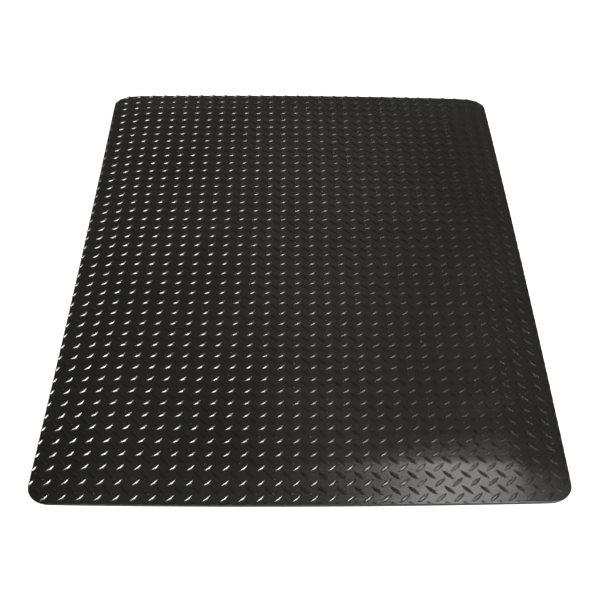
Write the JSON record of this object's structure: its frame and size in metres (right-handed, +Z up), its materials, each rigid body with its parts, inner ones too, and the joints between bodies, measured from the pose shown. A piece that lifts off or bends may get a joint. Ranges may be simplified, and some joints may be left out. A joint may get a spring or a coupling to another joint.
{
  "type": "anti-fatigue mat",
  "caption": "Rectangular anti-fatigue floor mat with rounded corners and bevelled edges: a diamond-tread vinyl wear sheet laminated over a closed-cell sponge core.",
  "frame": {"origin": "middle of the underside, at floor level", "axes": "+X across the mat, +Y along its length, +Z up from the floor"},
  "size_m": [0.61, 0.914, 0.0095],
  "materials": {
    "vinyl_black": "semi-gloss embossed vinyl",
    "bond_adhesive": "clear amber film",
    "sponge_charcoal": "matt closed-cell sponge"
  },
  "bodies": {
    "root": {"wear_sheet": "vinyl_black", "bond_film": "bond_adhesive", "sponge_core": "sponge_charcoal"}
  },
  "joints": []
}
